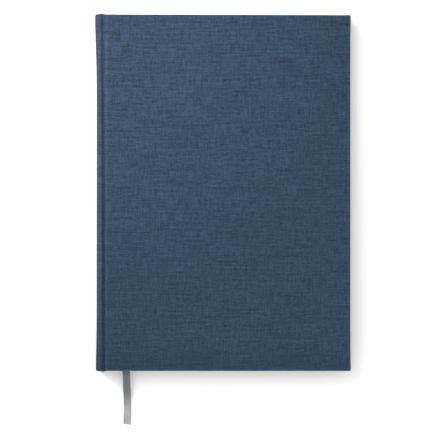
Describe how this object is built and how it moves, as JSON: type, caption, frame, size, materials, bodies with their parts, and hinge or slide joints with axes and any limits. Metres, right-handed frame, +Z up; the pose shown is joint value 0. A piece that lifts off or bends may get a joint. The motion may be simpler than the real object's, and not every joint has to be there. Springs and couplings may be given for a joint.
{
  "type": "hardback logbook",
  "caption": "Cloth-bound A4 hardback logbook with boards, sewn sections, endpapers, head and tail bands and a ribbon marker; opens flat at its middle.",
  "frame": {"origin": "centre of the book's footprint on the surface it lies on, under the back cover", "axes": "+X from the spine to the fore-edge, +Y to the head of the book, +Z up from the back cover to the front cover; the book is closed and lies on its back cover"},
  "size_m": [0.216, 0.3497, 0.0158],
  "materials": {
    "book_cloth": "matte",
    "greyboard": "matte",
    "page_paper": "matte",
    "endpaper": "matte",
    "kraft_paper": "matte",
    "mull": "matte",
    "thread": "matte",
    "band": "satin",
    "ribbon": "satin"
  },
  "bodies": {
    "back_cover": {"back_board": "greyboard", "back_cover_cloth": "book_cloth", "back_mull_flap": "mull", "back_pastedown": "endpaper", "back_endpaper_hinge": "endpaper"},
    "spine": {"spine_board": "greyboard", "spine_cloth": "book_cloth", "kraft_liner": "kraft_paper", "mull": "mull", "sewing_thread": "thread", "headband": "band", "tailband": "band", "section_folds": "page_paper", "ribbon_glued_end": "ribbon", "back_joint_cloth": "book_cloth", "front_joint_cloth": "book_cloth"},
    "front_cover": {"front_board": "greyboard", "front_cover_cloth": "book_cloth", "front_mull_flap": "mull", "front_pastedown": "endpaper", "front_endpaper_hinge": "endpaper"},
    "back_flyleaf": {"back_flyleaf": "endpaper"},
    "section_10": {"section_10": "page_paper"},
    "section_09": {"section_09": "page_paper"},
    "section_08": {"section_08": "page_paper"},
    "section_07": {"section_07": "page_paper"},
    "section_06": {"section_06": "page_paper", "ribbon_in_block": "ribbon", "ribbon_tail": "ribbon"},
    "turning_leaf_2": {"turning_leaf_2": "page_paper"},
    "turning_leaf_1": {"turning_leaf_1": "page_paper"},
    "section_05": {"section_05": "page_paper"},
    "section_04": {"section_04": "page_paper"},
    "section_03": {"section_03": "page_paper"},
    "section_02": {"section_02": "page_paper"},
    "section_01": {"section_01": "page_paper"},
    "front_flyleaf": {"front_flyleaf": "endpaper"}
  },
  "joints": [
    {"name": "spine_hinge", "type": "hinge", "parent": "back_cover", "child": "spine", "pos_m": [-0.10685, 0, 0.00115], "axis": [0, -1, 0], "range_deg": [0, 90], "deforming": ["back_joint_cloth", "back_endpaper_hinge", "back_mull_flap", "section_folds"]},
    {"name": "front_hinge", "type": "hinge", "parent": "spine", "child": "front_cover", "pos_m": [-0.10685, 0, 0.01461], "axis": [0, -1, 0], "range_deg": [0, 90], "deforming": ["front_joint_cloth", "front_endpaper_hinge", "front_mull_flap"]},
    {"name": "back_flyleaf_turn", "type": "hinge", "parent": "spine", "child": "back_flyleaf", "pos_m": [-0.10462, 0, 0.00313], "axis": [0, -1, 0], "range_deg": [-89.8, 0]},
    {"name": "section_10_turn", "type": "hinge", "parent": "spine", "child": "section_10", "pos_m": [-0.10409, 0, 0.00366], "axis": [0, -1, 0], "range_deg": [-89.6, 0]},
    {"name": "section_09_turn", "type": "hinge", "parent": "spine", "child": "section_09", "pos_m": [-0.10319, 0, 0.00456], "axis": [0, -1, 0], "range_deg": [-89.3, 0]},
    {"name": "section_08_turn", "type": "hinge", "parent": "spine", "child": "section_08", "pos_m": [-0.10229, 0, 0.00546], "axis": [0, -1, 0], "range_deg": [-89, 0]},
    {"name": "section_07_turn", "type": "hinge", "parent": "spine", "child": "section_07", "pos_m": [-0.10139, 0, 0.00636], "axis": [0, -1, 0], "range_deg": [-88.7, 0]},
    {"name": "section_06_turn", "type": "hinge", "parent": "spine", "child": "section_06", "pos_m": [-0.10049, 0, 0.00726], "axis": [0, -1, 0], "range_deg": [-88.4, 0]},
    {"name": "turning_leaf_2_turn", "type": "hinge", "parent": "spine", "child": "turning_leaf_2", "pos_m": [-0.10007, 0, 0.00808], "axis": [0, -1, 0], "range_deg": [-55, 0]},
    {"name": "turning_leaf_1_turn", "type": "hinge", "parent": "spine", "child": "turning_leaf_1", "pos_m": [-0.1002, 0, 0.00821], "axis": [0, -1, 0], "range_deg": [0, 60]},
    {"name": "section_05_turn", "type": "hinge", "parent": "spine", "child": "section_05", "pos_m": [-0.1006, 0, 0.00861], "axis": [0, -1, 0], "range_deg": [0, 88.4]},
    {"name": "section_04_turn", "type": "hinge", "parent": "spine", "child": "section_04", "pos_m": [-0.10139, 0, 0.0094], "axis": [0, -1, 0], "range_deg": [0, 88.7]},
    {"name": "section_03_turn", "type": "hinge", "parent": "spine", "child": "section_03", "pos_m": [-0.10229, 0, 0.0103], "axis": [0, -1, 0], "range_deg": [0, 89]},
    {"name": "section_02_turn", "type": "hinge", "parent": "spine", "child": "section_02", "pos_m": [-0.10319, 0, 0.0112], "axis": [0, -1, 0], "range_deg": [0, 89.3]},
    {"name": "section_01_turn", "type": "hinge", "parent": "spine", "child": "section_01", "pos_m": [-0.10409, 0, 0.0121], "axis": [0, -1, 0], "range_deg": [0, 89.6]},
    {"name": "front_flyleaf_turn", "type": "hinge", "parent": "spine", "child": "front_flyleaf", "pos_m": [-0.10462, 0, 0.01264], "axis": [0, -1, 0], "range_deg": [0, 89.8]}
  ],
  "couplings": [
    {"joint": "front_hinge", "follows": "spine_hinge", "ratio": 1},
    {"joint": "back_flyleaf_turn", "follows": "spine_hinge", "ratio": -0.99778},
    {"joint": "section_10_turn", "follows": "spine_hinge", "ratio": -0.99556},
    {"joint": "section_09_turn", "follows": "spine_hinge", "ratio": -0.99222},
    {"joint": "section_08_turn", "follows": "spine_hinge", "ratio": -0.98889},
    {"joint": "section_07_turn", "follows": "spine_hinge", "ratio": -0.98556},
    {"joint": "section_06_turn", "follows": "spine_hinge", "ratio": -0.98222},
    {"joint": "turning_leaf_2_turn", "follows": "spine_hinge", "ratio": -0.61111},
    {"joint": "turning_leaf_1_turn", "follows": "spine_hinge", "ratio": 0.66667},
    {"joint": "section_05_turn", "follows": "spine_hinge", "ratio": 0.98222},
    {"joint": "section_04_turn", "follows": "spine_hinge", "ratio": 0.98556},
    {"joint": "section_03_turn", "follows": "spine_hinge", "ratio": 0.98889},
    {"joint": "section_02_turn", "follows": "spine_hinge", "ratio": 0.99222},
    {"joint": "section_01_turn", "follows": "spine_hinge", "ratio": 0.99556},
    {"joint": "front_flyleaf_turn", "follows": "spine_hinge", "ratio": 0.99778}
  ]
}
